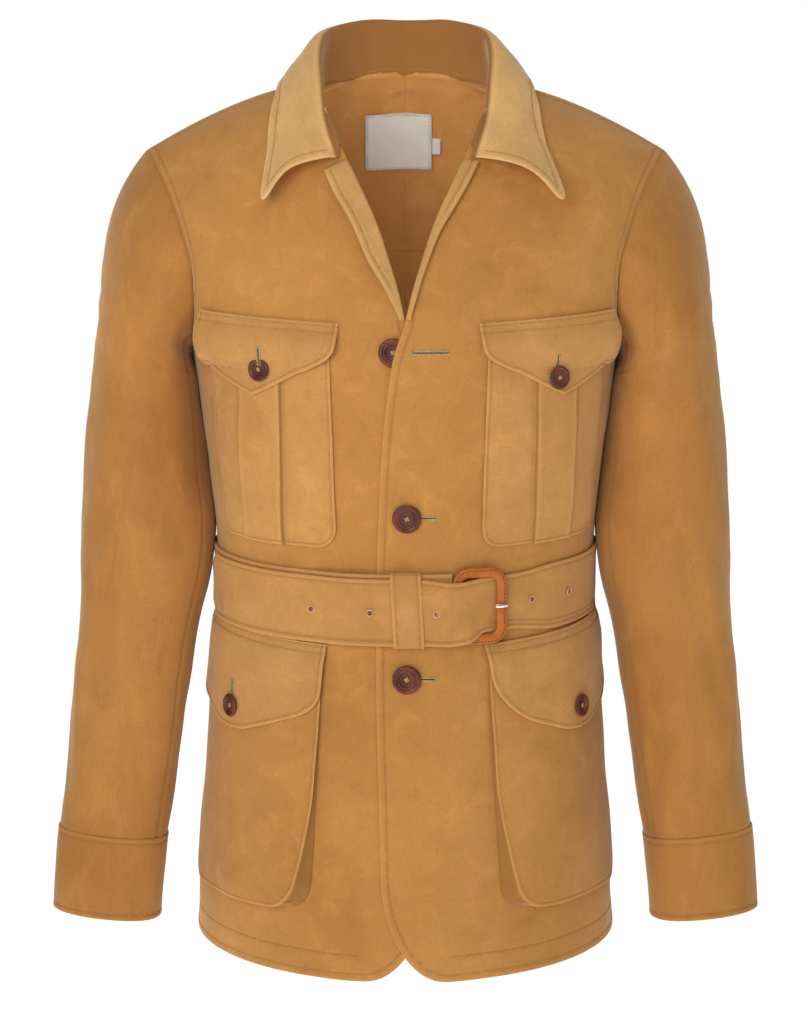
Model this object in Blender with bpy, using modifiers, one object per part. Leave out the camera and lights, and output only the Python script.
"""A belted safari jacket in brushed cotton, filled out as if worn: every cut and sewn piece is a solid of its own.

Metres, +Z up. The jacket faces -Y and the wearer's left is +X.
The origin is in the middle of the neck opening, level with the inner ends of the shoulder seams.
"""

import bpy
import numpy as np
from mathutils import Matrix, Vector

# Driving sizes
LENGTH = 0.756  # inner end of the shoulder seam down to the hem
CLOTH = 0.0016
DOUBLE_CLOTH = 0.0024  # collar, flaps, cuffs: two layers sewn together
BELT_CLOTH = 0.0024
GAP = 0.0003  # between pieces that meet or lie on each other
SEAM = 0.00015  # half the gap between two panels along a seam
BELT_WIDTH = 0.0555
BELT_BOTTOM = 0.2935  # above the hem, as all heights called up are
BUTTON_SPACING = 0.1369
BUTTON_UP = 0.534  # of the top button
COAT_BUTTON = 0.024
POCKET_BUTTON = 0.0195
OVERLAP_LIFT = CLOTH + 2 * GAP  # the left front lies over the right one
SHOULDER_UP = 0.790
ARMPIT_UP = 0.518
YOKE_UP = 0.593

# Level sections of the body up to the armpit: half width, depth in front of and behind the side seam, and how
# squarely the section turns its corners (0.552 is an ellipse)
BODY_COLUMNS = ("up", "half_width", "front", "back", "corner_pull")
BODY = np.array([
    (0.000, 0.1855, 0.155, 0.150, 0.555),
    (0.056, 0.1825, 0.152, 0.148, 0.560),
    (0.106, 0.1780, 0.149, 0.145, 0.565),
    (0.176, 0.1715, 0.145, 0.139, 0.570),
    (0.226, 0.1675, 0.142, 0.133, 0.575),
    (0.286, 0.1630, 0.136, 0.123, 0.580),
    (0.346, 0.1635, 0.134, 0.119, 0.590),
    (0.396, 0.1675, 0.137, 0.124, 0.600),
    (0.476, 0.1765, 0.143, 0.138, 0.600),
    (ARMPIT_UP, 0.1810, 0.142, 0.142, 0.600),
])

# Sections from the armpit to the shoulder seam. Each runs from an inner end (front edge, neckline or back seam)
# to an outer end on the armhole, and bends towards a corner point between them.
SHOULDER_COLUMNS = ("up", "inner x y z", "corner x y z", "outer x y z", "corner_pull")
FRONT_SHOULDER = np.array([
    (0.535, 0.0000, -0.1400, -0.2210, 0.177, -0.139, -0.221, 0.1800, -0.035, -0.2260, 0.6),
    (0.556, 0.0000, -0.1360, -0.2000, 0.168, -0.134, -0.200, 0.1765, -0.064, -0.2020, 0.6),
    (0.577, 0.0049, -0.1310, -0.1790, 0.158, -0.128, -0.179, 0.1765, -0.069, -0.1815, 0.6),
    (0.600, 0.0117, -0.1250, -0.1560, 0.150, -0.120, -0.157, 0.1780, -0.070, -0.1600, 0.6),
    (0.640, 0.0255, -0.1140, -0.1160, 0.150, -0.103, -0.118, 0.1900, -0.058, -0.1200, 0.6),
    (0.680, 0.0450, -0.0965, -0.0760, 0.140, -0.083, -0.077, 0.2020, -0.036, -0.0940, 0.6),
    (0.702, 0.0560, -0.0820, -0.0545, 0.130, -0.068, -0.056, 0.2070, -0.026, -0.0860, 0.6),
    (0.735, 0.0690, -0.0480, -0.0330, 0.120, -0.044, -0.032, 0.2130, -0.012, -0.0770, 0.6),
    (SHOULDER_UP, 0.0745, 0.0000, -0.0215, 0.098, 0.003, 0.001, 0.2200, 0.010, -0.0700, 0.6),
])
BACK_SHOULDER = np.array([
    (0.535, 0.000, 0.1420, -0.2210, 0.180, 0.140, -0.221, 0.1820, 0.030, -0.2280, 0.6),
    (0.556, 0.000, 0.1410, -0.2000, 0.178, 0.135, -0.200, 0.1850, 0.056, -0.2060, 0.6),
    (0.600, 0.000, 0.1360, -0.1560, 0.172, 0.124, -0.157, 0.1920, 0.070, -0.1620, 0.6),
    (0.640, 0.000, 0.1270, -0.1170, 0.168, 0.109, -0.119, 0.2020, 0.064, -0.1220, 0.6),
    (0.680, 0.000, 0.1100, -0.0780, 0.160, 0.090, -0.085, 0.2120, 0.047, -0.0960, 0.6),
    (0.715, 0.000, 0.0880, -0.0430, 0.150, 0.066, -0.050, 0.2170, 0.030, -0.0810, 0.6),
    (0.750, 0.000, 0.0620, -0.0100, 0.135, 0.038, -0.020, 0.2190, 0.018, -0.0740, 0.6),
    (0.772, 0.048, 0.0465, -0.0145, 0.115, 0.020, -0.005, 0.2196, 0.013, -0.0715, 0.6),
    (SHOULDER_UP, 0.0745, 0.0000, -0.0215, 0.098, 0.003, 0.001, 0.2200, 0.010, -0.0700, 0.6),
])

# How far past the centre line the edge of each front runs, up to the point of the V. The neckline goes on from there.
FRONT_EDGE_COLUMNS = ("up", "x")
FRONT_EDGE = np.array([
    (0.000, -0.0190), (0.120, -0.0205), (0.245, -0.0230), (0.396, -0.0210), (0.496, -0.0142), (0.535, -0.0075),
    (0.556, 0.0000),
])
HEM_CORNER = (0.054, 0.092)  # rounding of the front hem corners, across and up

# Soft folds: where each one runs, from one end to the other, its half width and its height (a trough is negative)
FOLD_COLUMNS = ("around_1", "up_1", "around_2", "up_2", "half_width", "height")
BODY_FOLDS = np.array([
    (-0.030, 0.300, -0.045, 0.040, 0.022, 0.0022),
    (0.045, 0.290, 0.060, 0.060, 0.024, 0.0020),
    (-0.120, 0.360, -0.150, 0.470, 0.018, 0.0018),
    (0.125, 0.360, 0.150, 0.460, 0.018, 0.0016),
    (0.085, 0.590, 0.140, 0.650, 0.020, -0.0020),
    (-0.090, 0.590, -0.140, 0.650, 0.020, -0.0016),
    (0.380, 0.300, 0.370, 0.030, 0.030, 0.0030),
    (-0.380, 0.300, -0.365, 0.030, 0.030, 0.0030),
    (0.400, 0.360, 0.420, 0.520, 0.026, 0.0024),
    (-0.400, 0.360, -0.430, 0.510, 0.026, 0.0024),
    (0.455, 0.290, 0.450, 0.060, 0.022, -0.0022),
    (-0.450, 0.290, -0.455, 0.070, 0.022, -0.0022),
])

# Sleeve rings below the armpit: centre, half width and half depth, lean outwards and forwards in degrees
SLEEVE_COLUMNS = ("down", "x", "y", "z", "half_width", "half_depth", "lean_out", "lean_forward")
SLEEVE = np.array([
    (0.000, 0.2216, 0.002, -0.255, 0.0462, 0.070, 16.0, 0.0),
    (0.065, 0.2228, -0.002, -0.320, 0.0517, 0.064, 6.0, 1.0),
    (0.145, 0.2228, -0.008, -0.400, 0.0560, 0.058, 4.0, 3.0),
    (0.215, 0.2320, -0.015, -0.470, 0.0520, 0.054, 6.0, 5.0),
    (0.290, 0.2410, -0.025, -0.545, 0.0498, 0.050, 6.5, 6.0),
    (0.365, 0.2500, -0.034, -0.620, 0.0477, 0.045, 6.5, 6.0),
    (0.408, 0.2560, -0.040, -0.662, 0.0467, 0.042, 6.3, 6.0),
    (0.484, 0.2622, -0.050, -0.738, 0.0462, 0.039, 6.3, 6.0),
])
CUFF_DOWN = 0.404
CUFF_LAP = 0.006  # of the sleeve's end, inside the cuff
CUFF_HEIGHT = 0.0705
CUFF_PROUD = 0.0010  # how far a cuff stands out past the sleeve
SLEEVE_TUCK = 0.0034  # how far the sleeve's end is drawn in, inside the cuff
SLEEVE_SQUARENESS = 2.35
SLEEVE_CLEAR = 0.0022  # between a sleeve and the body, where they touch in life
FOREARM_SEAM = 146.0  # degrees round the sleeve from its outer side, by way of the front
ELBOW_SEAM = 232.0
CAP_HANDLE = 0.40  # how far a sleeve head runs on in its first direction, as a share of its length
SLEEVE_FOLD_COLUMNS = ("round_1", "down_1", "round_2", "down_2", "half_width", "height")
SLEEVE_FOLDS = np.array([
    (105.0, 0.02, 60.0, 0.26, 16.0, -0.0030),
    (75.0, 0.00, 30.0, 0.14, 16.0, 0.0022),
    (60.0, 0.30, 95.0, 0.40, 16.0, 0.0016),
    (255.0, 0.10, 300.0, 0.24, 18.0, -0.0030),
    (285.0, 0.06, 320.0, 0.18, 16.0, 0.0022),
])

# Collar sections, from the middle of the back to the front end
COLLAR_COLUMNS = ("station", "seam x y z", "fold x y z", "edge x y z", "edge_bulge")
COLLAR = np.array([
    (0.00, 0.0000, 0.0610, -0.0095, 0.0000, 0.0650, 0.0350, 0.0000, 0.0960, -0.0240, 0.004),
    (0.22, 0.0360, 0.0530, -0.0120, 0.0400, 0.0570, 0.0350, 0.0580, 0.0860, -0.0270, 0.004),
    (0.40, 0.0655, 0.0290, -0.0180, 0.0665, 0.0290, 0.0268, 0.0975, 0.0500, -0.0235, 0.004),
    (0.54, 0.0745, 0.0000, -0.0205, 0.0712, -0.0010, 0.0140, 0.1060, 0.0030, -0.0170, 0.004),
    (0.70, 0.0725, -0.0330, -0.0255, 0.0700, -0.0330, -0.0070, 0.1098, -0.0450, -0.0440, 0.004),
    (0.86, 0.0625, -0.0650, -0.0420, 0.0655, -0.0670, -0.0400, 0.1141, -0.0840, -0.0745, 0.005),
    (1.00, 0.0530, -0.0870, -0.0585, 0.0560, -0.0950, -0.0670, 0.1180, -0.1170, -0.1090, 0.012),
])
COLLAR_FOLD = 0.0030  # half the distance between the two layers at the fold
COLLAR_SPREAD = 0.0125  # how much further out the left point lies than the right one

# The rolled-back edge of each front above the first button: where its width changes
FACING_COLUMNS = ("up", "right_width", "left_width")
FACING = np.array([
    (0.560, 0.0035, 0.0033), (0.586, 0.0090, 0.0030), (0.607, 0.0155, 0.0037), (0.627, 0.0175, 0.0050),
    (0.648, 0.0200, 0.0090), (0.665, 0.0220, 0.0110), (0.684, 0.0215, 0.0115),
])
FACING_SLANT = (0.0080, 0.0020)  # how much lower the outer corner of its top is, right and left
FACING_CLOTH = 0.0028
FACING_RISE = 0.0028  # how far its free edge stands off the front

# Patch pockets and flaps: distances round the body from the centre line, heights above the hem.
# A pair of values is at the top and at the foot, or at the inner and at the outer end.
CHEST_POCKET = dict(inner=(0.0625, 0.0575), outer=(0.1830, 0.1780), foot=(0.3705, 0.3705), top=0.538, corner=0.016)
CHEST_FLAP = dict(inner=(0.0548, 0.0567), outer=(0.1785, 0.1890), top=(0.5562, 0.5632), side=(0.5320, 0.5225),
                  middle=0.1270, point=0.4960, corner=0.010)
CHEST_PLEAT = (0.1035, 0.1430)
CHEST_SHIFT = 0.0055  # the left pocket sits this much further out than the right one
CHEST_BUTTON = (0.1185, 0.5170)
PLEAT_HEIGHT = 0.0014
PUFF = 0.0016
HIP_POCKET = dict(inner=(0.0690, 0.0830), outer=(0.2430, 0.2430), foot=(0.0590, 0.0500), top=0.270, corner=0.020)
HIP_FLAP = dict(inner=(0.0670, 0.0705), outer=(0.2500, 0.2520), top=(0.2870, 0.2925), side=(0.2330, 0.2270),
                middle=0.1640, point=0.1985, corner=0.016)
HIP_BUTTON = (0.1620, 0.2217)
HIP_BELLOWS = 0.0125  # how far the pocket's face stands off at its inner foot
HIP_OUTER = 0.0032  # and along its outer edge
HIP_SLIDE = 0.0140  # how far its inner edge has slid over its gusset there
HIP_MOUTH = 0.0035
SEAT = 0.0012  # how far a sewn-down edge stands off the panel, to clear its facets

# Belt
WAIST_LIFT = 0.0038  # near the keeper, which passes under it
BELT_START = 0.0372  # the buckle end, past the centre line on the left front
BELT_TIP_LAP = 0.250
TIP_DROP = 0.0035  # how much lower the tip lies than the layer under it
BUCKLE_CENTRE = 0.0600
BUCKLE_SIZE = (0.046, 0.065)
BUCKLE_BAR = (0.0042, 0.0021)  # half width and half thickness of the covered frame
BUCKLE_CORNER = 0.014
BUCKLE_LIFTS = (0.0060, 0.0082)  # of the frame's middle, at its covered and at its free bar
EYELETS_ON_TIP = (0.0247, -0.0280, -0.0774)
EYELETS_ON_STRAP = (0.1088, 0.1514)
KEEPER = (-0.0105, 0.0130)

LABEL = dict(left=-0.036, right=0.0235, top=0.7155, bottom=0.6635)
SIZE_TAB = dict(left=0.0245, right=0.0315, top=0.693, bottom=0.679)

TAN = (0.50, 0.24, 0.075)


def material(name, colour, roughness, metallic=0.0):
    """A plain finish with that colour."""
    made = bpy.data.materials.new(name)
    made.use_nodes = True
    shader = made.node_tree.nodes["Principled BSDF"]
    shader.inputs["Base Color"].default_value = (*colour, 1.0)
    shader.inputs["Roughness"].default_value = roughness
    shader.inputs["Metallic"].default_value = metallic
    return made


def smooth(at, keys, values):
    """A table's values between its rows, on a smooth curve through them."""
    at = np.asarray(at, float)
    slopes = np.gradient(values, keys, axis=0)
    row = np.clip(np.searchsorted(keys, at, side="right") - 1, 0, len(keys) - 2)
    width = (keys[row + 1] - keys[row])[..., None]
    share = (at - keys[row])[..., None] / width
    start = (1 + 2 * share) * (1 - share) ** 2 * values[row] + share * (1 - share) ** 2 * width * slopes[row]
    end = share**2 * (3 - 2 * share) * values[row + 1] - share**2 * (1 - share) * width * slopes[row + 1]
    return start + end


def ease(share):
    """0 to 1 with level ends."""
    share = np.clip(share, 0.0, 1.0)
    return share * share * (3 - 2 * share)


def unit(vectors):
    return vectors / np.linalg.norm(vectors, axis=-1, keepdims=True)


def spread(low, high, count):
    return np.linspace(low, high, count)


def mirrored(side):
    return np.array([side, 1.0, 1.0])


# The body's surface
def half_rows(shoulder, depth_column, sign):
    """All sections of the front or back half: up, inner, corner and outer points, corner pull."""
    rows = []
    for row in BODY:
        up, half_width, depth = row[0], row[1], sign * row[depth_column]
        z = up - LENGTH
        rows.append((up, 0, depth, z, half_width, depth, z, half_width, 0, z, row[4]))
    return np.vstack([rows, shoulder])


FRONT_ROWS = half_rows(FRONT_SHOULDER, 2, -1)
BACK_ROWS = half_rows(BACK_SHOULDER, 3, 1)
ROW_SAMPLES = 40


def bezier(points, share):
    """Points on cubic curves, each given by its four control points."""
    rest = 1 - share
    return (rest**3 * points[0] + 3 * rest**2 * share * points[1]
            + 3 * rest * share**2 * points[2] + share**3 * points[3])


def row_curves(rows, up):
    """The four control points of the section at each height."""
    found = smooth(up, rows[:, 0], rows[:, 1:])
    inner, corner, outer, pull = found[..., 0:3], found[..., 3:6], found[..., 6:9], found[..., 9:10]
    half_width = smooth(up, BODY[:, 0], BODY[:, 1:2])[..., 0]
    side_seam = np.stack([half_width, 0 * up, up - LENGTH], axis=-1)
    outer = np.where((up <= ARMPIT_UP)[..., None], side_seam, outer)
    return inner, inner + pull * (corner - inner), outer + pull * (corner - outer), outer


def row_lengths(curves):
    """Distances along each section at evenly spaced shares of its curve."""
    shares = np.linspace(0, 1, ROW_SAMPLES)
    points = bezier([c[..., None, :] for c in curves], shares[:, None])
    steps = np.linalg.norm(np.diff(points, axis=-2), axis=-1)
    return shares, np.concatenate([np.zeros(steps.shape[:-1] + (1,)), np.cumsum(steps, axis=-1)], axis=-1)


def half_length(rows, up):
    """Distance round the body from its centre line to the side seam or armhole."""
    curves = row_curves(rows, np.asarray(up, float))
    return curves[0][..., 0] + row_lengths(curves)[1][..., -1]


def half_point(rows, around, up):
    """The point of a half section that lies that far round the body from the centre line."""
    around, up = np.broadcast_arrays(np.asarray(around, float), np.asarray(up, float))
    curves = row_curves(rows, up)
    shares, lengths = row_lengths(curves)
    along = around - curves[0][..., 0]
    before = np.clip((lengths < along[..., None]).sum(-1) - 1, 0, ROW_SAMPLES - 2)[..., None]
    low = np.take_along_axis(lengths, before, -1)[..., 0]
    high = np.take_along_axis(lengths, before + 1, -1)[..., 0]
    share = shares[before[..., 0]] + (along - low) / (high - low) * shares[1]
    return bezier(curves, share[..., None])


def front_half(around, up):
    return half_point(FRONT_ROWS, around, up)


def back_half(around, up):
    return half_point(BACK_ROWS, around, up)


ROWS_OF = {front_half: FRONT_ROWS, back_half: BACK_ROWS}


def torso(around, up):
    """The body's surface all the way round: around is 0 at the front, positive to the wearer's left."""
    around, up = np.broadcast_arrays(np.asarray(around, float), np.asarray(up, float))
    to_seam = half_length(FRONT_ROWS, up)
    past = np.abs(around) - to_seam
    point = np.where((past < 0)[..., None], front_half(np.abs(around), up),
                     back_half(half_length(BACK_ROWS, up) - past, up))
    side = np.where(around < 0, -1.0, 1.0)
    return point * np.stack([side, np.ones_like(side), np.ones_like(side)], axis=-1)


def normal_of(surface, first, second, step=2e-4):
    """Unit vectors square to a surface."""
    one = surface(first + step, second) - surface(first - step, second)
    other = surface(first, second + step) - surface(first, second - step)
    return unit(np.cross(one, other))


def half_normal(half, around, up):
    """Directions out of a half of the body. Both halves share one along the shoulder seam."""
    out = normal_of(half, around, up) * (1 if half is front_half else -1)
    along = FRONT_SHOULDER[-1, 7:10] - FRONT_SHOULDER[-1, 1:4]
    shared = unit(np.array([-along[2], 0, along[0]]))
    share = ease((up - SHOULDER_UP + 0.03) / 0.029)[..., None]
    return unit(out * (1 - share) + shared * share)


def fold_height(first, second, folds, ends=0.35):
    """Height of the soft folds at a point: each is a ridge that dies away to both sides and at both ends."""
    total = np.zeros(np.broadcast(first, second).shape)
    for first_1, second_1, first_2, second_2, half_width, height in folds:
        run = np.array([first_2 - first_1, second_2 - second_1])
        share = (second - second_1) / run[1]
        off = (first - first_1 - run[0] * share) / half_width
        fade = ease((share + ends) / ends) * ease((1 + ends - share) / ends)
        total = total + height * np.exp(-off * off) * fade
    return total


def body_folds(around, up):
    """The body's folds, which die away under the belt, at the shoulders and along the front edges."""
    calm = np.abs(up - BELT_BOTTOM - BELT_WIDTH / 2) / (BELT_WIDTH / 2)
    free = ease((calm - 1) / 1.2) * ease((SHOULDER_UP - 0.03 - up) / 0.08) * ease((np.abs(around) - 0.03) / 0.03)
    return fold_height(around, up, BODY_FOLDS) * free


def on_body(around, up, lift, side=1):
    """Points of the body's surface moved out by lift. The other side of the body mirrors the first."""
    around, up = np.broadcast_arrays(np.asarray(around, float), np.asarray(up, float))
    out = normal_of(torso, around, up)
    height = np.asarray(lift) + body_folds(side * around, up)
    return (torso(around, up) + out * height[..., None]) * mirrored(side)


# Building meshes
def build(name, vertices, faces, finish, smooth_angle=50):
    """A mesh object from points and faces, with its faces turned outwards."""
    vertices = np.asarray(vertices, float)
    faces = [tuple(int(i) for i in face) for face in faces]
    volume = 0.0
    for face in faces:
        for k in range(1, len(face) - 1):
            a, b, c = vertices[face[0]], vertices[face[k]], vertices[face[k + 1]]
            volume += np.dot(a, np.cross(b, c))
    if volume < 0:
        faces = [face[::-1] for face in faces]
    mesh = bpy.data.meshes.new(name)
    mesh.from_pydata(vertices.tolist(), [], faces)
    mesh.shade_smooth()
    mesh.set_sharp_from_angle(angle=np.radians(smooth_angle))
    made = bpy.data.objects.new(name, mesh)
    made.data.materials.append(finish)
    jacket.objects.link(made)
    return made


def wall(name, finish, *grids):
    """Cloth between pairs of outer and inner grids of points. Outer points at the same place are joined."""
    index, outer_points, inner_points, quads = {}, [], [], []
    for outer, inner in grids:
        numbers = np.empty(outer.shape[:2], int)
        for place in np.ndindex(numbers.shape):
            key = tuple(np.round(outer[place], 6))
            if key not in index:
                index[key] = len(outer_points)
                outer_points.append(outer[place])
                inner_points.append(inner[place])
            numbers[place] = index[key]
        for i, j in np.ndindex(numbers.shape[0] - 1, numbers.shape[1] - 1):
            corners = [numbers[i, j], numbers[i, j + 1], numbers[i + 1, j + 1], numbers[i + 1, j]]
            face = [c for k, c in enumerate(corners) if c != corners[k - 1]]
            if len(face) > 2:
                quads.append(face)
    count = len(outer_points)
    edges = {(face[k - 1], face[k]) for face in quads for k in range(len(face))}
    faces = list(quads) + [[count + c for c in reversed(face)] for face in quads]
    faces += [[b, a, count + a, count + b] for a, b in sorted(edges) if (b, a) not in edges]
    return build(name, outer_points + inner_points, faces, finish)


def closed_row(grid):
    """A grid with its first column repeated at its end."""
    return np.concatenate([grid, grid[:, :1]], axis=1)


def hoop(name, sections, finish):
    """A closed loop of closed sections, such as a buckle's frame."""
    loops, around = sections.shape[:2]
    faces = []
    for i, j in np.ndindex(loops, around):
        k, m = (j + 1) % around, (i + 1) % loops
        faces.append((i * around + j, i * around + k, m * around + k, m * around + j))
    return build(name, sections.reshape(-1, 3), faces, finish)


def round_corner(x, y, corner_x, corner_y, radius_x, radius_y):
    """Moves the points near a square corner so that it becomes an arc. The signs of the radii point inwards."""
    over_x = np.clip((corner_x + radius_x - x) / radius_x, 0, 1)
    over_y = np.clip((corner_y + radius_y - y) / radius_y, 0, 1)
    inside = (over_x > 0) & (over_y > 0)
    new_x = corner_x + radius_x - radius_x * over_x * np.sqrt(1 - over_y**2 / 2)
    new_y = corner_y + radius_y - radius_y * over_y * np.sqrt(1 - over_x**2 / 2)
    return np.where(inside, new_x, x), np.where(inside, new_y, y)


# Fronts, back and yoke
BUTTON_HEIGHTS = (BUTTON_UP, BUTTON_UP - BUTTON_SPACING, BUTTON_UP - 2 * BUTTON_SPACING)
NEAR_EDGE = HEM_CORNER[0] * np.array([0, 0.25, 0.5, 0.75, 1.0])
FAR_COLUMNS = 10
SKIRT_ROWS = (0.132, 0.165, 0.198, 0.231, 0.264)
CHEST_ROWS = (0.371, 0.395, 0.420, 0.445, 0.470, 0.494)
TOP_ROW = SHOULDER_UP - 2 * SEAM
FRONT_ARMHOLE_ROWS = (0.535, 0.554, 0.575, 0.598, 0.620, 0.642, 0.664, 0.684, 0.704, 0.730, 0.760, TOP_ROW)
BACK_ARMHOLE_ROWS = (0.535, 0.554, 0.574, YOKE_UP - SEAM)
YOKE_ROWS = (YOKE_UP + SEAM, 0.615, 0.640, 0.668, 0.696, 0.722, 0.750, 0.764, 0.777, TOP_ROW)


def front_edge(up):
    up = np.asarray(up, float)
    below = smooth(up, FRONT_EDGE[:, 0], FRONT_EDGE[:, 1:])[..., 0]
    neckline = smooth(up, FRONT_ROWS[:, 0], FRONT_ROWS[:, 1:2])[..., 0]
    return np.where(up < FRONT_EDGE[-1, 0], below, neckline)


def front_columns(up):
    """Distances round the body of a front's columns of points, one row of them for each height."""
    up = np.atleast_1d(up)[:, None]
    edge = front_edge(up)
    reach = half_length(FRONT_ROWS, up) - SEAM
    far = np.arange(1, FAR_COLUMNS + 1) / FAR_COLUMNS
    return np.concatenate([edge + NEAR_EDGE, edge + NEAR_EDGE[-1] + far * (reach - edge - NEAR_EDGE[-1])], axis=1)


def armhole_line(half):
    """Heights from the shoulder to the armpit, and the turn round the armhole at each."""
    up = np.linspace(SHOULDER_UP, ARMPIT_UP, 80)
    curve = smooth(up, ROWS_OF[half][:, 0], ROWS_OF[half][:, 7:10])
    along = np.concatenate([[0], np.cumsum(np.linalg.norm(np.diff(curve, axis=0), axis=1))])
    return up, along / along[-1] * 180, curve


def armhole_turns(half, up):
    """The turn round the armhole of its points at those heights."""
    ups, turns, _ = armhole_line(half)
    turn = np.interp(-np.asarray(up), -ups, turns)
    return turn if half is front_half else 360 - turn


def armhole_depths(half, up):
    """From the outer to the inner side of the body's and of the sleeve's cloth where they meet.

    Near the shoulder both are cut along the line that halves their corner. At the armpit, where their outer sides
    face each other, each is cut square.
    """
    turn = armhole_turns(half, up)
    body = half_normal(half, half_length(ROWS_OF[half], up), up)
    arm = sleeve_normal(turn, np.full_like(turn, -0.985))
    shared = unit(body + arm)
    share = ease(((body * arm).sum(-1, keepdims=True) - 0.10) / 0.40)
    shared = shared / np.maximum((shared * body).sum(-1, keepdims=True), 0.62) * share
    return (shared + body * (1 - share)) * CLOTH, (shared + arm * (1 - share)) * CLOTH


def around_from_front(half, around, up):
    """Distance round the body from the front centre line, for points of either half."""
    if half is front_half:
        return around
    return half_length(FRONT_ROWS, up) + half_length(BACK_ROWS, up) - around


def half_grids(half, around, up, lift, side):
    """Outer and inner points of a wall on one half of the body. Its last column may run along the armhole."""
    out = half_normal(half, around, up)
    height = lift + body_folds(side * around_from_front(half, around, up), up)
    outer = half(around, up) + out * height[..., None]
    inner = outer - out * CLOTH
    on_armhole = up[:, -1] > ARMPIT_UP + 1e-6
    if on_armhole.any():
        inner[on_armhole, -1] = outer[on_armhole, -1] - armhole_depths(half, up[on_armhole, -1])[0]
    return outer * mirrored(side), inner * mirrored(side)


def lap_lift(around, up):
    """How far the left front is lifted near the centre: it lies over the right one, and over its first button."""
    below_v = ease((0.600 - up) / 0.05)
    over_button = 0.0044 * np.exp(-((around - 0.002) / 0.030) ** 2 - ((up - BUTTON_HEIGHTS[0]) / 0.032) ** 2)
    return OVERLAP_LIFT * ease((0.075 - around) / 0.045) * below_v + over_button


def make_fronts():
    rows = np.concatenate([spread(0.0, HEM_CORNER[1], 5), SKIRT_ROWS, BELT_BOTTOM + spread(0, BELT_WIDTH, 3),
                           CHEST_ROWS, [ARMPIT_UP], FRONT_ARMHOLE_ROWS])
    around = front_columns(rows)
    up = np.broadcast_to(rows[:, None], around.shape)
    edge = front_edge(up)
    x, up = round_corner(around - edge, up, 0.0, 0.0, *HEM_CORNER)
    around = edge + x
    lift = lap_lift(around, up)
    wall("front_left", cloth, half_grids(front_half, around, up, lift, 1))
    wall("front_right", cloth, half_grids(front_half, around, up, 0 * lift, -1))


def back_columns(up):
    up = np.atleast_1d(up)[:, None]
    return SEAM + spread(0, 1, 10) * (half_length(BACK_ROWS, up) - 2 * SEAM)


def make_back():
    rows = np.concatenate([spread(0.0, BELT_BOTTOM, 9), [BELT_BOTTOM + BELT_WIDTH / 2],
                           spread(BELT_BOTTOM + BELT_WIDTH, ARMPIT_UP, 6), BACK_ARMHOLE_ROWS])
    around = back_columns(rows)
    up = np.broadcast_to(rows[:, None], around.shape)
    for name, side in (("back_left", 1), ("back_right", -1)):
        wall(name, cloth, half_grids(back_half, around, up, 0.0, side))


def make_yoke():
    """The yoke runs from armhole to armhole over the top of the back, up to both shoulder seams."""
    share, up = np.meshgrid(spread(0, 1, 10), YOKE_ROWS)
    start = np.maximum(smooth(up, BACK_ROWS[:, 0], BACK_ROWS[:, 1:2])[..., 0] * (up > 0.7501), 0.0)
    around = start + share * (half_length(BACK_ROWS, up) - SEAM - start)
    right, left = (half_grids(back_half, around, up, 0.0, side) for side in (-1, 1))
    for grid in right + left:
        grid[up[:, 0] < 0.7501, 0, 0] = 0.0
    wall("yoke", cloth, left, [grid[:, ::-1] for grid in right])


# Sleeves and cuffs
def armhole(turn):
    """The closed armhole curve: turn is 0 at the shoulder, 180 at the armpit, by way of the front."""
    turn = np.mod(turn, 360.0)
    points = []
    for half, place in ((front_half, turn), (back_half, 360 - turn)):
        _, turns, curve = armhole_line(half)
        points.append(np.stack([np.interp(place, turns, curve[:, k]) for k in range(3)], axis=-1))
    return np.where((turn <= 180)[..., None], points[0], points[1])


def sleeve_ring(turn, down):
    """A point of the sleeve below its head: turn is 0 on its outer side and 90 at its front."""
    found = smooth(down, SLEEVE[:, 0], SLEEVE[:, 1:])
    centre, half_width, half_depth = found[..., 0:3], found[..., 3], found[..., 4]
    lean_out, lean_forward = np.radians(found[..., 5]), np.radians(found[..., 6])
    angle = np.radians(turn)
    cos, sin = np.cos(angle), np.sin(angle)
    across = np.sign(cos) * np.abs(cos) ** (2 / SLEEVE_SQUARENESS) * half_width
    forward = np.sign(sin) * np.abs(sin) ** (2 / SLEEVE_SQUARENESS) * half_depth
    zero = np.zeros_like(across)
    return (centre + np.stack([across * np.cos(lean_out), zero, across * np.sin(lean_out)], axis=-1)
            + np.stack([zero, -forward * np.cos(lean_forward), forward * np.sin(lean_forward)], axis=-1))


def body_side(y, up):
    """Half width of the body at that depth and height."""
    widths = []
    for rows in (FRONT_ROWS, BACK_ROWS):
        curves = [c[..., None, :] for c in row_curves(rows, up)]
        points = bezier(curves, np.linspace(0, 1, ROW_SAMPLES)[:, None])
        x, depth = points[..., 0], np.abs(points[..., 1])
        before = np.clip((depth > np.abs(y)[..., None]).sum(-1) - 1, 0, ROW_SAMPLES - 2)[..., None]
        x_1, x_2 = np.take_along_axis(x, before, -1)[..., 0], np.take_along_axis(x, before + 1, -1)[..., 0]
        y_1, y_2 = np.take_along_axis(depth, before, -1)[..., 0], np.take_along_axis(depth, before + 1, -1)[..., 0]
        share = np.clip((y_1 - np.abs(y)) / np.maximum(y_1 - y_2, 1e-6), 0, 1)
        widths.append(x_1 + share * (x_2 - x_1))
    return np.where(y < 0, *widths)


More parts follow.
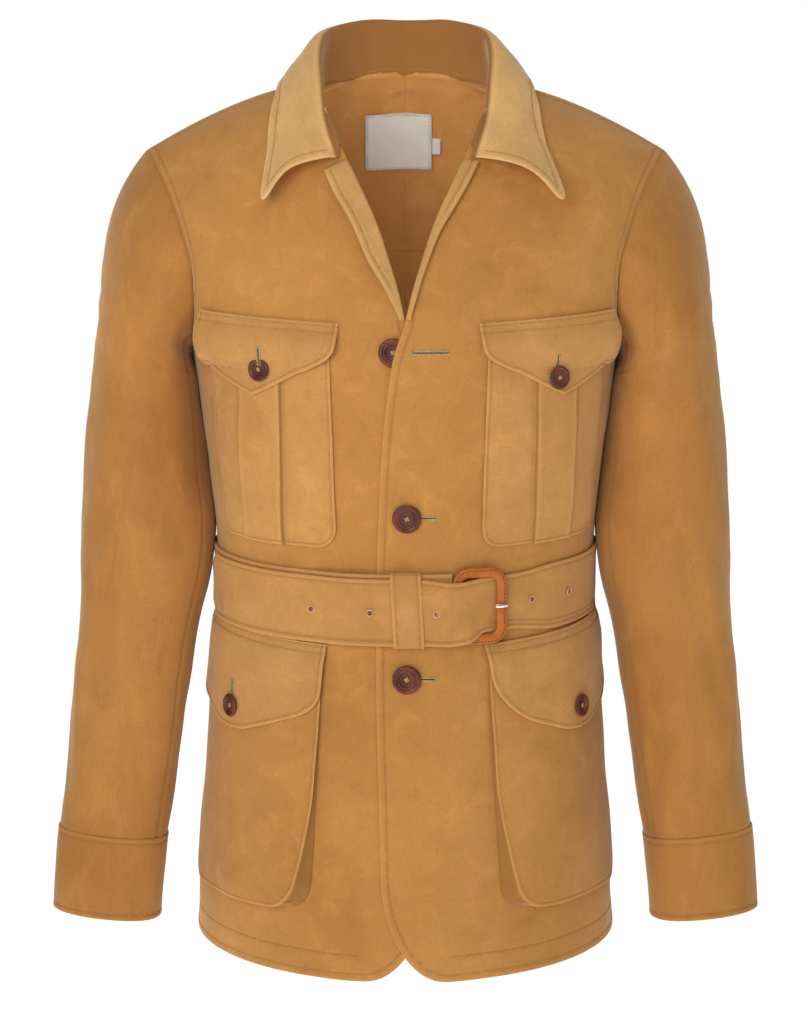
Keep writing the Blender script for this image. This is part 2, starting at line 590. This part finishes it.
def sleeve(turn, along):
    """The sleeve's surface: along runs from -1 at the armhole to 0 at the first ring, then down the arm."""
    turn, along = np.broadcast_arrays(np.asarray(turn, float), np.asarray(along, float))
    share = np.clip(along + 1, -0.01, 1)[..., None]
    start, end = armhole(turn), sleeve_ring(turn, np.zeros_like(turn))
    angle = np.radians(turn)
    steep = -0.55 - 0.62 * ((1 + np.cos(angle)) / 2) ** 3
    away = unit(np.stack([1 + 0 * angle, -0.28 * np.sin(angle), steep], axis=-1))
    fall = unit(sleeve_ring(turn, 0.01 + 0 * turn) - end)
    reach = np.linalg.norm(end - start, axis=-1, keepdims=True) * CAP_HANDLE
    cap = bezier([start, start + away * reach, end - fall * reach, end], share)
    points = np.where((along < 0)[..., None], cap, sleeve_ring(turn, np.maximum(along, 0)))
    up = points[..., 2] + LENGTH
    beside = ease((ARMPIT_UP - 0.004 - up) / 0.02)
    side = body_side(points[..., 1], np.minimum(up, ARMPIT_UP - 0.001)) + SLEEVE_CLEAR
    points[..., 0] += beside * np.maximum(side - points[..., 0], 0)
    return points


def sleeve_normal(turn, along):
    one = sleeve(turn + 0.5, along) - sleeve(turn - 0.5, along)
    other = sleeve(turn, along + 0.002) - sleeve(turn, along - 0.002)
    return unit(np.cross(one, other))


def on_sleeve(turn, along, lift):
    """Points of the sleeve moved out by lift, with the sleeve's folds."""
    free = ease(along / 0.05) * ease((CUFF_DOWN - along) / 0.05)
    height = lift + fold_height(turn, along, SLEEVE_FOLDS) * free
    return sleeve(turn, along) + sleeve_normal(turn, along) * height[..., None]


def make_sleeves():
    """Each sleeve is cut in two: a wide upper piece and a narrow under one, joined at the forearm and elbow.

    Its columns start where the rows of the body end, so that both have the same corners along the armhole.
    """
    rows = np.concatenate([[-0.9965], spread(-0.84, -0.18, 4), spread(0, CUFF_DOWN - 0.006, 8),
                           [CUFF_DOWN - 0.0015, CUFF_DOWN + CUFF_LAP]])
    tuck = np.where(rows > CUFF_DOWN - 0.003, SLEEVE_TUCK, 0.0)[:, None]
    body_rows = {front_half: (ARMPIT_UP,) + FRONT_ARMHOLE_ROWS, back_half: BACK_ARMHOLE_ROWS + YOKE_ROWS[1:-1]}
    turns, starts = [], []
    for half, ups in body_rows.items():
        turns.append(armhole_turns(half, ups))
        starts.append(armhole_depths(half, np.array(ups))[1])
    turns, starts = np.concatenate(turns), np.concatenate(starts)
    order = np.argsort(turns)
    turns, starts = turns[order], starts[order]
    seam = 0.18  # degrees, half the gap between the two pieces
    for piece, low, high in (("upper", ELBOW_SEAM - 360, FOREARM_SEAM), ("under", FOREARM_SEAM, ELBOW_SEAM)):
        every = np.concatenate([turns - 360, turns])
        inside = every[(every > low + 3) & (every < high - 3)]
        columns = np.concatenate([[low + seam], inside, [high - seam]])
        first = np.stack([np.interp(columns, every, np.tile(starts[:, k], 2)) for k in range(3)], axis=-1)
        turn, along = np.meshgrid(columns, rows)
        outer, inner = on_sleeve(turn, along, -tuck), on_sleeve(turn, along, -tuck - CLOTH)
        inner[0] = outer[0] - first
        for side_name, side in (("left", 1), ("right", -1)):
            wall(f"sleeve_{side_name}_{piece}", cloth, (outer * mirrored(side), inner * mirrored(side)))


def make_cuffs():
    rows = np.array([CUFF_DOWN, CUFF_DOWN + 0.034, CUFF_DOWN + CUFF_HEIGHT])
    turn, along = np.meshgrid(spread(0, 360, 25)[:-1], rows)
    outer = closed_row(on_sleeve(turn, along, CUFF_PROUD))
    inner = closed_row(on_sleeve(turn, along, CUFF_PROUD - DOUBLE_CLOTH))
    for side_name, side in (("left", 1), ("right", -1)):
        wall(f"cuff_{side_name}", cloth, (outer * mirrored(side), inner * mirrored(side)))


# Collar and facings
def collar_line(station, share, spread_out=0.0):
    """The middle of the collar's cloth: share runs from the seam (0) over the fold to the leaf's edge (1)."""
    found = smooth(station, COLLAR[:, 0], COLLAR[:, 1:])
    seam, fold, edge, bulge = found[..., 0:3], found[..., 3:6], found[..., 6:9], found[..., 9:10]
    edge = edge + (spread_out * ease((station - 0.72) / 0.28))[..., None] * np.array([1.0, 0, 0])
    outward = unit((edge - fold) * np.array([1, 1, 0.0]))
    sideways = np.cross(outward, np.array([0, 0, 1.0]))
    lift = unit(np.cross(edge - fold, sideways))
    lift = lift * np.sign((lift * outward).sum(-1, keepdims=True))
    keys = np.array([0.0, 0.20, 0.36, 0.44, 0.72, 1.0])
    before = fold - np.array([0, 0, 1.0]) * COLLAR_FOLD
    after = before + outward * 2 * COLLAR_FOLD
    leaf = (after + edge) / 2 + lift * bulge
    points = np.stack([seam, (seam + fold) / 2, before, after, leaf, edge], axis=-2)
    slopes = np.gradient(points, keys, axis=-2)
    row = np.clip(np.searchsorted(keys, share, side="right") - 1, 0, len(keys) - 2)
    width = (keys[row + 1] - keys[row])[..., None]
    part = (share - keys[row])[..., None] / width

    def pick(values, index):
        return np.take_along_axis(values, index[..., None, None], -2)[..., 0, :]

    return ((1 + 2 * part) * (1 - part) ** 2 * pick(points, row)
            + part * (1 - part) ** 2 * width * pick(slopes, row)
            + part**2 * (3 - 2 * part) * pick(points, row + 1)
            - part**2 * (1 - part) * width * pick(slopes, row + 1))


def clear_of_body(points, clearance):
    """Points moved out where they are nearer to the fronts or the yoke than the clearance."""
    near, out = [], []
    for half in (front_half, back_half):
        rows = ROWS_OF[half]
        share, up = np.meshgrid(spread(0, 1, 50), spread(0.62, SHOULDER_UP - 0.0005, 60))
        start = smooth(up, rows[:, 0], rows[:, 1:2])[..., 0]
        around = start + share * (half_length(rows, up) - start)
        near.append(half(around, up).reshape(-1, 3))
        out.append(half_normal(half, around, up).reshape(-1, 3))
    near, out = np.concatenate(near), np.concatenate(out)
    near, out = near[out[:, 2] > -0.1], out[out[:, 2] > -0.1]
    flat = points.reshape(-1, 3)
    nearest = np.array([np.argmin(((near - p) ** 2).sum(-1)) for p in flat])
    apart = flat - near[nearest]
    short = np.maximum(clearance - (apart * out[nearest]).sum(-1), 0) * (np.linalg.norm(apart, axis=-1) < 0.014)
    moved = flat + out[nearest] * short[:, None]
    return moved.reshape(points.shape)


def neckline_height(points):
    """Height of the nearest point of the neckline."""
    front_up, back_up = spread(0.60, SHOULDER_UP, 80), spread(0.75, SHOULDER_UP, 80)
    line = np.concatenate([smooth(front_up, FRONT_ROWS[:, 0], FRONT_ROWS[:, 1:4]),
                           smooth(back_up, BACK_ROWS[:, 0], BACK_ROWS[:, 1:4])])
    return np.array([line[np.argmin(((line - p) ** 2).sum(-1)), 2] for p in points])


def make_collar():
    stations = spread(0, 1, 11)
    shares = np.array([0.0, 0.18, 0.32, 0.38, 0.42, 0.50, 0.66, 0.84, 1.0])
    share, station = np.meshgrid(shares, stations)
    grids = []
    for side, spread_out in ((1, COLLAR_SPREAD), (-1, 0.0)):
        points = collar_line(station, share, spread_out) + np.array([0, 0, 2 * GAP + CLOTH])
        points[:, 5:] = clear_of_body(points[:, 5:], 0.0036)
        points[8:, 1:5] = clear_of_body(points[8:, 1:5], 0.0036)
        points[:, 0, 2] = np.maximum(points[:, 0, 2], neckline_height(points[:, 0]) + 2 * GAP + CLOTH + 0.0010)
        one = collar_line(station + 1e-3, share, spread_out) - collar_line(station - 1e-3, share, spread_out)
        other = collar_line(station, share + 1e-3, spread_out) - collar_line(station, share - 1e-3, spread_out)
        out = unit(np.cross(one, other))
        out[0] = unit(out[0] * np.array([0, 1, 1.0]))
        half = [(points + out * d * DOUBLE_CLOTH / 2) * mirrored(side) for d in (1, -1)]
        grids.append(half if side == 1 else [grid[:, ::-1] for grid in half])
    wall("collar", cloth, *grids)


def make_facings():
    """The strip of facing that shows where each front's edge rolls back above the first button."""
    for side_name, side, column in (("right", -1, 0), ("left", 1, 1)):
        height, share = np.meshgrid(spread(0, 1, 9), np.array([0.0, 0.35, 0.7, 1.0]), indexing="ij")
        up = FACING[0, 0] + height * (FACING[-1, 0] - FACING[0, 0])
        width = smooth(up, FACING[:, 0], FACING[:, 1:])[..., column]
        up = up - FACING_SLANT[column] * share * ease((height - 0.6) / 0.4)
        around = front_edge(up) + 0.0002 + share * width
        low = GAP * 2 + share * FACING_RISE + (lap_lift(around, up) if side == 1 else 0)
        inner = on_body(around, up, low, side)
        outer = on_body(around, up, low + FACING_CLOTH, side)
        wall(f"facing_{side_name}", cloth, (outer, inner))


# Pockets and flaps
def pocket_grid(pocket, shift, extra=()):
    """Around and up of a patch pocket. Between its own edges its columns follow those of the front."""
    foot = max(pocket["foot"])
    corner = pocket["corner"]
    heights = np.concatenate([foot + corner * np.array([0, 0.35, 0.7]),
                              [r for r in SKIRT_ROWS + CHEST_ROWS + (ARMPIT_UP,)
                               if foot + corner < r < pocket["top"] - 0.004], [pocket["top"]]])
    down = ((pocket["top"] - heights) / (pocket["top"] - foot))[:, None]
    low = pocket["inner"][0] * (1 - down) + pocket["inner"][1] * down + shift
    high = pocket["outer"][0] * (1 - down) + pocket["outer"][1] * down + shift
    columns = front_columns(heights)
    middle = len(heights) // 2
    room = 0.7 * corner + 0.002
    fits = [j for j in range(columns.shape[1])
            if (columns[:, j] > low[:, 0] + room).all() and (columns[:, j] < high[:, 0] - room).all()
            and all(abs(columns[middle, j] - e) > 0.004 for e in extra)]
    ends = corner * np.array([0, 0.35, 0.7])
    inner_part, outer_part = low + ends, high - ends[::-1]
    middle_part = [columns[:, fits]] + [np.full_like(low, e) for e in extra]
    middle_part = np.sort(np.concatenate(middle_part, axis=1), axis=1)
    around = np.concatenate([inner_part, middle_part, outer_part], axis=1)
    up = np.broadcast_to(heights[:, None], around.shape)
    x, up = round_corner(around - low, up, 0.0, foot, corner, corner)
    x, up = round_corner(x - (high - low), up, 0.0, foot, -corner, corner)
    around = high + x
    share = (around - low) / (high - low)
    drop = (pocket["foot"][0] - pocket["foot"][1]) * share * ((pocket["top"] - up) / (pocket["top"] - foot)) ** 2
    return around, up - drop, share


def flap_grid(flap, shift, columns=8, rows=5):
    """Around and up of a flap with a pointed foot and rounded corners."""
    corner = flap["corner"]
    width = flap["outer"][1] - flap["inner"][1]
    ends = corner / width * np.array([0, 0.3, 0.65])
    point = (flap["middle"] - flap["inner"][1]) / width
    inner_run = spread(corner / width, point, columns // 2 + 1)
    outer_run = spread(point, 1 - corner / width, columns // 2 + 1)[1:]
    share = np.concatenate([ends, inner_run, outer_run, 1 - ends[::-1]])
    share, down = np.meshgrid(share, spread(0, 1, rows))
    low = flap["inner"][0] * (1 - down) + flap["inner"][1] * down
    high = flap["outer"][0] * (1 - down) + flap["outer"][1] * down
    top = flap["top"][0] * (1 - share) + flap["top"][1] * share
    inner_line = flap["side"][0] + (flap["point"] - flap["side"][0]) * share / point
    outer_line = flap["side"][1] + (flap["point"] - flap["side"][1]) * (1 - share) / (1 - point)
    foot = np.where(share < point, inner_line, outer_line)
    from_side = np.minimum(share, 1 - share) * width
    curl = np.clip(1 - from_side / corner, 0, 1)
    foot = foot + corner * 0.75 * (1 - np.sqrt(1 - curl**2 * 0.999))
    return low + share * (high - low) + shift, top + (foot - top) * down


def chest_puff(share, up):
    """How far a chest pocket's cloth stands off the front: it is flat at its seams and puffed between them."""
    pocket = CHEST_POCKET
    width = pocket["outer"][0] - pocket["inner"][0]
    from_side = np.minimum(share, 1 - share) * width
    return SEAT + PUFF * ease(from_side / 0.03) * ease((up - pocket["foot"][0]) / 0.04)


def flap_wall(name, flap, side, shift, under):
    """A flap is sewn down along its top and lies over its pocket below."""
    around, up = flap_grid(flap, shift)
    top = np.interp(around, np.array(flap["inner"][0:1] + flap["outer"][0:1]) + shift, flap["top"])
    lift = SEAT - 0.0003 + under(around, up) * ease((top - up) / 0.018)
    lift = lift + (lap_lift(around, up) if side == 1 else 0)
    outer = on_body(around, up, lift + DOUBLE_CLOTH, side)
    wall(name, cloth, (outer, on_body(around, up, lift, side)))


def over_chest(around, up):
    return PUFF + PLEAT_HEIGHT + CLOTH + 0.0020 + 0 * up


def make_chest_pockets():
    for side_name, side, shift in (("left", 1, CHEST_SHIFT), ("right", -1, 0.0)):
        fold = [p + shift + e for p in CHEST_PLEAT for e in (-0.0006, 0.0006)]
        around, up, share = pocket_grid(CHEST_POCKET, shift, extra=fold)
        low = chest_puff(share, up) + (lap_lift(around, up) if side == 1 else 0)
        in_pleat = (around > fold[0] + 0.0005) & (around < fold[3] - 0.0005)
        outer = on_body(around, up, low + CLOTH + PLEAT_HEIGHT * in_pleat, side)
        wall(f"chest_pocket_{side_name}", cloth, (outer, on_body(around, up, low, side)))
        flap_wall(f"chest_flap_{side_name}", CHEST_FLAP, side, shift, over_chest)


def hip_lift(around, up):
    """How far the face of a hip pocket stands off the skirt: most at its inner foot, little along its outer side."""
    pocket = HIP_POCKET
    share = (up - pocket["foot"][0]) / (pocket["top"] - pocket["foot"][0])
    inner = HIP_MOUTH + (HIP_BELLOWS - HIP_MOUTH) * ease((0.90 - share) / 0.85)
    outward = ease((around - 0.10) / 0.11)
    return inner * (1 - outward) + HIP_OUTER * outward


def hip_grids(depth):
    """Around, up and lift of a hip pocket's face and gusset, or of the inner side of their cloth."""
    pocket = dict(HIP_POCKET)
    pocket["inner"] = tuple(v + depth for v in pocket["inner"])
    pocket["outer"] = tuple(v - depth for v in pocket["outer"])
    pocket["foot"] = tuple(v + depth for v in pocket["foot"])
    around, up, share = pocket_grid(pocket, 0.0)
    down = np.clip((0.165 - up) / 0.100, 0, 1.1) ** 1.6
    face = around + HIP_SLIDE * down * (1 - share)
    lift = hip_lift(face, up) - depth
    flat = np.full(up.shape[1], SEAT)
    around = np.vstack([around[0], face])
    up = np.vstack([up[0], up])
    lift = np.vstack([flat, lift])
    base, _, _ = pocket_grid(pocket, 0.0)
    inner_side = np.concatenate([base[:1, 0], base[:, 0]])
    outer_side = np.concatenate([base[:1, -1], base[:, -1]])
    around = np.column_stack([inner_side, around, outer_side])
    up = np.column_stack([up[:, 0], up, up[:, -1]])
    seat = np.full(len(up), SEAT)
    return around, up, np.column_stack([seat, lift, seat])


def over_hip(around, up):
    return hip_lift(around, up) + 0.0006


def make_hip_pockets():
    for side_name, side in (("left", 1), ("right", -1)):
        grids = []
        for depth in (0.0, CLOTH):
            around, up, lift = hip_grids(depth)
            under = lap_lift(around, up) if side == 1 else 0
            grids.append(on_body(around, up, lift + under, side))
        wall(f"hip_pocket_{side_name}", cloth, tuple(grids))
        flap_wall(f"hip_flap_{side_name}", HIP_FLAP, side, 0.0, over_hip)


# Belt, keeper, buckle, prong and eyelets
BELT_MIDDLE = BELT_BOTTOM + BELT_WIDTH / 2


def waist():
    """Length of the body's section under the middle of the belt."""
    return 2 * float(half_length(FRONT_ROWS, BELT_MIDDLE) + half_length(BACK_ROWS, BELT_MIDDLE))


def belt_place(along):
    """Position round the body of a point of the belt, along from its buckle end: it runs to the wearer's right."""
    round_it = waist()
    return np.mod(BELT_START - along + round_it / 2, round_it) - round_it / 2


def belt_along(place, lap=0):
    """The opposite of belt_place, on the belt's first turn or on the tip that laps over it."""
    return np.mod(BELT_START - np.asarray(place, float), waist()) + lap * waist()


def belt_lift(along):
    """The belt's inner face above the body: one turn on the jacket, then over its own first end to the tip."""
    past = along - waist()
    near_front = ease((0.095 - np.abs(belt_place(along) - 0.005)) / 0.05)
    over_bar = 0.0020 * np.exp(-((past + 0.005) / 0.013) ** 2)
    return 0.0007 + WAIST_LIFT * near_front + (BELT_CLOTH + 2 * GAP) * ease((past + 0.045) / 0.045) + over_bar


def belt_edges(along):
    """Lower edge, middle and upper edge of the belt, and how far each stands above the belt's own lift.

    Where it passes through the buckle its lower edge is drawn in, and just past there that edge rides over the
    frame's lower bar.
    """
    past = along - waist()
    above = ease((past + 0.070) / 0.020) * ease((0.016 - past) / 0.020)
    below = ease((past + 0.070) / 0.020) * ease((-0.012 - past) / 0.014)
    drop = TIP_DROP * ease((past + 0.030) / 0.04)
    riding = ease((past + 0.027) / 0.012) * ease((0.020 - past) / 0.018)
    low = BELT_MIDDLE - BELT_WIDTH / 2 * (1 - 0.20 * below) - drop
    high = BELT_MIDDLE + BELT_WIDTH / 2 * (1 - 0.16 * above) - drop
    end = ease((past - BELT_TIP_LAP + 0.020) / 0.020)
    low, high = low + end * 0.010, high - end * 0.010
    up = np.stack([low, (low + high) / 2, high], axis=-1)
    return up, np.stack([0.0048 * riding, 0 * riding, 0.0010 * riding], axis=-1)


def make_belt():
    front = front_columns(BELT_MIDDLE)[0]
    back = half_length(FRONT_ROWS, BELT_MIDDLE) + half_length(BACK_ROWS, BELT_MIDDLE) - back_columns(BELT_MIDDLE)[0]
    places = np.concatenate([front, back[1:-1]])
    first = np.concatenate([belt_along(places), belt_along(-places), belt_along([0.020, 0.0, -0.020, waist() / 2]),
                            [0.0]])
    first = first[first < waist() - 0.085]
    last = waist() + BELT_TIP_LAP
    tip = belt_along(-places, 1)
    tip = tip[(tip > waist() + 0.04) & (tip < last - 0.03)]
    along = np.concatenate([first, waist() + spread(-0.085, 0.025, 16), tip, [last - 0.020, last - 0.010, last]])
    along = np.sort(along)
    along = along[np.concatenate([[True], np.diff(along) > 0.001])]
    up, extra = belt_edges(along)
    lift = belt_lift(along)[:, None] + extra
    place = np.broadcast_to(belt_place(along)[:, None], up.shape)
    wall("belt", cloth, (on_body(place, up, lift + BELT_CLOTH), on_body(place, up, lift)))


def make_keeper():
    """The loop of cloth that holds the belt's tip down."""
    grids = []
    top = float(belt_lift(belt_along(0.0, 1))) + BELT_CLOTH + GAP + 0.0002
    foot = float(belt_lift(belt_along(0.0))) - GAP
    low, high = BELT_BOTTOM - TIP_DROP - 0.0008, BELT_BOTTOM + BELT_WIDTH + 0.0008
    for out in (0.0013, 0.0):
        cut = 0.0006
        up = np.array([low - out, low - out, low - out + cut, BELT_MIDDLE, high + out - cut, high + out, high + out,
                       high + out - cut, BELT_MIDDLE, low - out + cut])
        lift = np.array([foot + cut, top - cut, top, top, top, top - cut, foot + cut, foot, foot, foot])
        lift = lift + out * np.sign(lift - (foot + top) / 2)
        lift = np.maximum(lift, OVERLAP_LIFT + GAP)
        slant = (up - BELT_MIDDLE) * -0.05
        grids.append(closed_row(np.stack([on_body(place + slant, up, lift) for place in KEEPER])))
    wall("belt_keeper", cloth, tuple(grids))


def buckle_frame():
    """A flat frame of reference for the buckle: its middle, and directions across, up and out."""
    place = np.array([[BUCKLE_CENTRE]]), np.array([[BELT_MIDDLE]])
    flat, normal = on_body(*place, 0.0)[0, 0], normal_of(torso, *place)[0, 0]
    sideways = unit(np.cross(np.array([0, 0, 1.0]), normal))
    return flat, sideways, np.cross(normal, sideways), normal


def buckle_lift(across):
    """Height of the frame's middle over the body, from its covered bar to its free bar."""
    half = BUCKLE_SIZE[0] / 2 - BUCKLE_BAR[0]
    share = (across + half) / (2 * half)
    return BUCKLE_LIFTS[0] * (1 - share) + BUCKLE_LIFTS[1] * share


def make_buckle():
    """A rounded frame covered in leather, swept along its own outline."""
    half_w, half_h = BUCKLE_SIZE[0] / 2 - BUCKLE_BAR[0], BUCKLE_SIZE[1] / 2 - BUCKLE_BAR[0]
    radius = BUCKLE_CORNER - BUCKLE_BAR[0]
    path, out = [], []
    for corner, (sx, sy) in enumerate(((1, 1), (-1, 1), (-1, -1), (1, -1))):
        for turn in np.radians(corner * 90 + spread(0, 90, 5)):
            across, up = np.cos(turn), np.sin(turn)
            path.append((sx * (half_w - radius) + radius * across, sy * (half_h - radius) + radius * up))
            out.append((across, up))
    path, out = np.array(path), np.array(out)
    turns = np.radians(spread(0, 360, 9)[:-1])
    across = path[:, :1] + out[:, :1] * np.cos(turns) * BUCKLE_BAR[0]
    up = path[:, 1:] + out[:, 1:] * np.cos(turns) * BUCKLE_BAR[0]
    flat, sideways, upright, normal = buckle_frame()
    height = buckle_lift(across) + np.sin(turns)[None, :] * BUCKLE_BAR[1]
    hoop("buckle", flat + across[..., None] * sideways + up[..., None] * upright + height[..., None] * normal, leather)


def make_prong():
    """The metal prong's free end, which comes through an eyelet and rests on the buckle's free bar."""
    flat, sideways, upright, normal = buckle_frame()
    bar = BUCKLE_SIZE[0] / 2 - BUCKLE_BAR[0]
    top = float(buckle_lift(bar)) + BUCKLE_BAR[1] + 0.0013
    across = bar + np.array([-0.0062, -0.0035, 0.0, 0.0036, 0.0052])
    height = top + np.array([-0.0002, 0.0002, 0.0002, -0.0002, -0.0008])
    size = np.array([0.0014, 0.0016, 0.0016, 0.0013, 0.0007])
    turns = np.radians(spread(0, 360, 9)[:-1])
    rings = (flat + across[:, None, None] * sideways + (size[:, None] * np.cos(turns))[..., None] * upright
             + (height[:, None] + size[:, None] * 0.6 * np.sin(turns))[..., None] * normal)
    faces = [(8 * i + j, 8 * i + (j + 1) % 8, 8 * i + 8 + (j + 1) % 8, 8 * i + 8 + j)
             for i in range(4) for j in range(8)]
    build("prong", rings.reshape(-1, 3), faces + [tuple(range(8))[::-1], tuple(range(32, 40))], metal)


def facing_frame(around, up, lift, side=1):
    """Where a small round piece sits on the jacket: its place, and the direction it faces."""
    place = np.array([[around]]), np.array([[up]])
    return on_body(*place, lift, side)[0, 0], normal_of(torso, *place)[0, 0] * mirrored(side)


def seat(made, place, out):
    """Puts a piece that was made facing +Z on the jacket, facing out, with its top towards +Z."""
    z = Vector(out).normalized()
    x = Vector((0, 0, 1)).cross(z).normalized()
    turn = Matrix((x, z.cross(x), z)).transposed().to_4x4()
    made.matrix_world = Matrix.Translation(Vector(place)) @ turn


def make_eyelets():
    """Eyelet rings on the belt's tip and on the strap before the buckle."""
    along = [float(belt_along(place, 1)) for place in EYELETS_ON_TIP]
    along += [float(belt_along(place)) for place in EYELETS_ON_STRAP]
    for number, at in enumerate(along, 1):
        at = np.array(at)
        bpy.ops.mesh.primitive_torus_add(major_radius=0.0026, minor_radius=0.0007,
                                         major_segments=10, minor_segments=4)
        made = bpy.context.object
        made.name = f"eyelet_{number}"
        made.data.materials.append(ring_metal)
        up = float(belt_edges(at)[0][1])
        seat(made, *facing_frame(float(belt_place(at)), up, float(belt_lift(at)) + BELT_CLOTH + GAP + 0.0008))
        for group in list(made.users_collection):
            group.objects.unlink(made)
        jacket.objects.link(made)


def button_profile(diameter):
    """Half the section of a button, from the middle of its face round its rim to the middle of its back."""
    r = diameter / 2
    return ((0.0, 0.0012), (0.42 * r, 0.0012), (0.52 * r, 0.0024), (0.86 * r, 0.0031), (1.0 * r, 0.0020),
            (0.90 * r, 0.0004), (0.0, 0.0))


def make_button(name, diameter, place, out):
    """A turned button: a profile with a Screw modifier."""
    profile = button_profile(diameter)
    mesh = bpy.data.meshes.new(name)
    points = [(x, 0.0, z) for x, z in profile]
    mesh.from_pydata(points, [(i, i + 1) for i in range(len(points) - 1)], [])
    made = bpy.data.objects.new(name, mesh)
    mesh.materials.append(horn)
    turn = made.modifiers.new("turn", "SCREW")
    turn.steps = turn.render_steps = 14
    turn.use_merge_vertices = True
    turn.merge_threshold = 0.00001
    turn.use_normal_calculate = True
    jacket.objects.link(made)
    seat(made, place, out)


def make_buttons():
    """Three coat buttons down the middle and one on each flap."""
    stand = GAP + 0.0001
    make_button("button_1", COAT_BUTTON, *facing_frame(0.0100, BUTTON_HEIGHTS[0], stand, -1))
    for number in (2, 3):
        frame = facing_frame(0.0010, BUTTON_HEIGHTS[number - 1], OVERLAP_LIFT + stand)
        make_button(f"button_{number}", COAT_BUTTON, *frame)
    for side_name, side, shift, facets in (("left", 1, CHEST_SHIFT + 0.001, 0.0007), ("right", -1, 0.0, 0.0024)):
        around, up = CHEST_BUTTON[0] + shift, CHEST_BUTTON[1] - shift
        lift = SEAT + float(over_chest(around, up)) + DOUBLE_CLOTH + facets
        make_button(f"chest_button_{side_name}", POCKET_BUTTON, *facing_frame(around, up, lift, side))
        around, up = HIP_BUTTON
        lift = SEAT + float(over_hip(around, up)) + DOUBLE_CLOTH + GAP
        make_button(f"hip_button_{side_name}", POCKET_BUTTON, *facing_frame(around, up, lift, side))


def make_labels():
    """A bare woven label and a small tab inside the yoke."""
    for name, shape, columns in (("label", LABEL, 5), ("size_tab", SIZE_TAB, 2)):
        around, up = np.meshgrid(spread(shape["left"], shape["right"], columns),
                                 spread(shape["bottom"], shape["top"], 5 if name == "label" else 3))
        mirror = np.stack([np.where(around < 0, -1.0, 1.0), np.ones_like(up), np.ones_like(up)], axis=-1)
        place = back_half(np.abs(around), up) * mirror
        out = half_normal(back_half, np.abs(around), up) * mirror
        depth = CLOTH + GAP + 0.0011
        wall(name, woven, (place - out * depth, place - out * (depth + 0.0008)))


def clear_scene():
    for old in list(bpy.data.objects):
        bpy.data.objects.remove(old)


clear_scene()
jacket = bpy.data.collections.new("safari_jacket")
bpy.context.scene.collection.children.link(jacket)
cloth = material("brushed_cotton", TAN, 0.95)
leather = material("tan_leather", (0.38, 0.10, 0.018), 0.45)
horn = material("button_horn", (0.07, 0.014, 0.008), 0.3)
metal = material("prong_metal", (0.75, 0.74, 0.72), 0.25, 1.0)
ring_metal = material("eyelet_ring", (0.55, 0.32, 0.18), 0.4, 0.3)
woven = material("label_weave", (0.60, 0.57, 0.51), 0.9)

make_fronts()
make_back()
make_yoke()
make_sleeves()
make_cuffs()
make_collar()
make_facings()
make_chest_pockets()
make_hip_pockets()
make_belt()
make_keeper()
make_buckle()
make_prong()
make_eyelets()
make_buttons()
make_labels()
